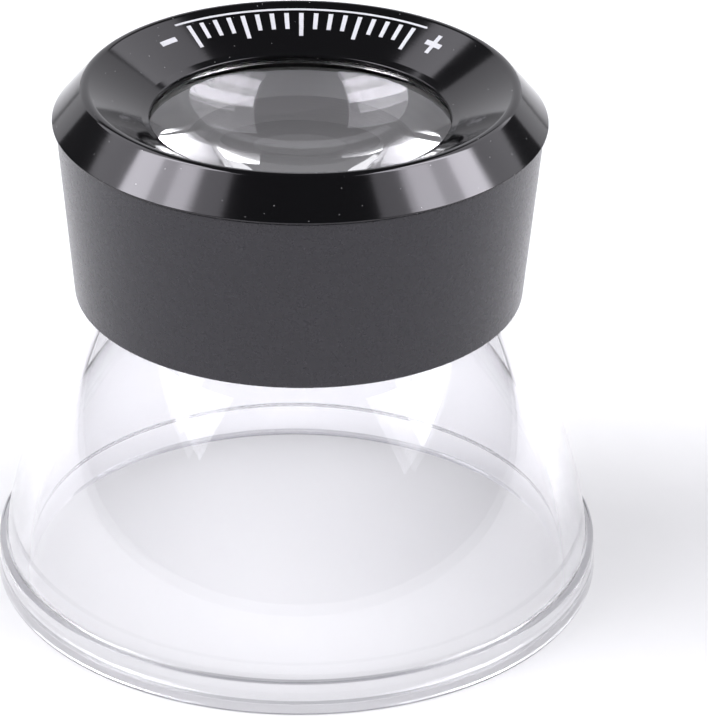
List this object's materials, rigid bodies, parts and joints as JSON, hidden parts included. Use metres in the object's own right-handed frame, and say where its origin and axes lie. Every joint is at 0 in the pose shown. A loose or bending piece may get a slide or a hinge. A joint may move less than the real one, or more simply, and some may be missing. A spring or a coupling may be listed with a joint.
{
  "type": "viewing loupe",
  "caption": "Stand loupe for slides and film: black focusing lens head with a dished eye ring on a clear bell-shaped skirt.",
  "frame": {"origin": "centre of the skirt's foot, on the plane of the film that the loupe stands on", "axes": "+Z along the optical axis, from the film up to the eye; the printed scale is at the +Y side"},
  "size_m": [0.05, 0.05, 0.0429],
  "materials": {
    "clear_acrylic": "clear polished acrylic, moulded, faint grey tint",
    "spring_steel": "plain spring steel",
    "seal_rubber": "matt black nitrile",
    "satin_black": "satin dark grey-black moulded plastic, fine even texture",
    "matt_black": "matt black, anti-reflection",
    "optical_glass": "polished optical glass, coated",
    "gloss_black": "polished piano-black moulded plastic",
    "pale_print": "pale grey pad-printed ink"
  },
  "bodies": {
    "skirt": {"clear_skirt": "clear_acrylic", "stop_ring": "spring_steel"},
    "damper": {"damping_ring": "seal_rubber"},
    "head": {"collar": "satin_black", "bezel": "gloss_black", "lens_cell": "matt_black", "eye_lens": "optical_glass", "lens_spacer": "matt_black", "field_lens": "optical_glass", "retaining_ring": "matt_black"}
  },
  "joints": [
    {"name": "focus_rise", "type": "slide", "parent": "skirt", "child": "damper", "axis": [0, 0, 1], "range_m": [0, 0.00192]},
    {"name": "focus_turn", "type": "hinge", "parent": "damper", "child": "head", "pos_m": [0, 0, 0.03], "axis": [0, 0, 1], "range_deg": [0, 345]}
  ],
  "couplings": [
    {"joint": "focus_rise", "follows": "focus_turn", "m_per_rad": 0.00031831}
  ]
}
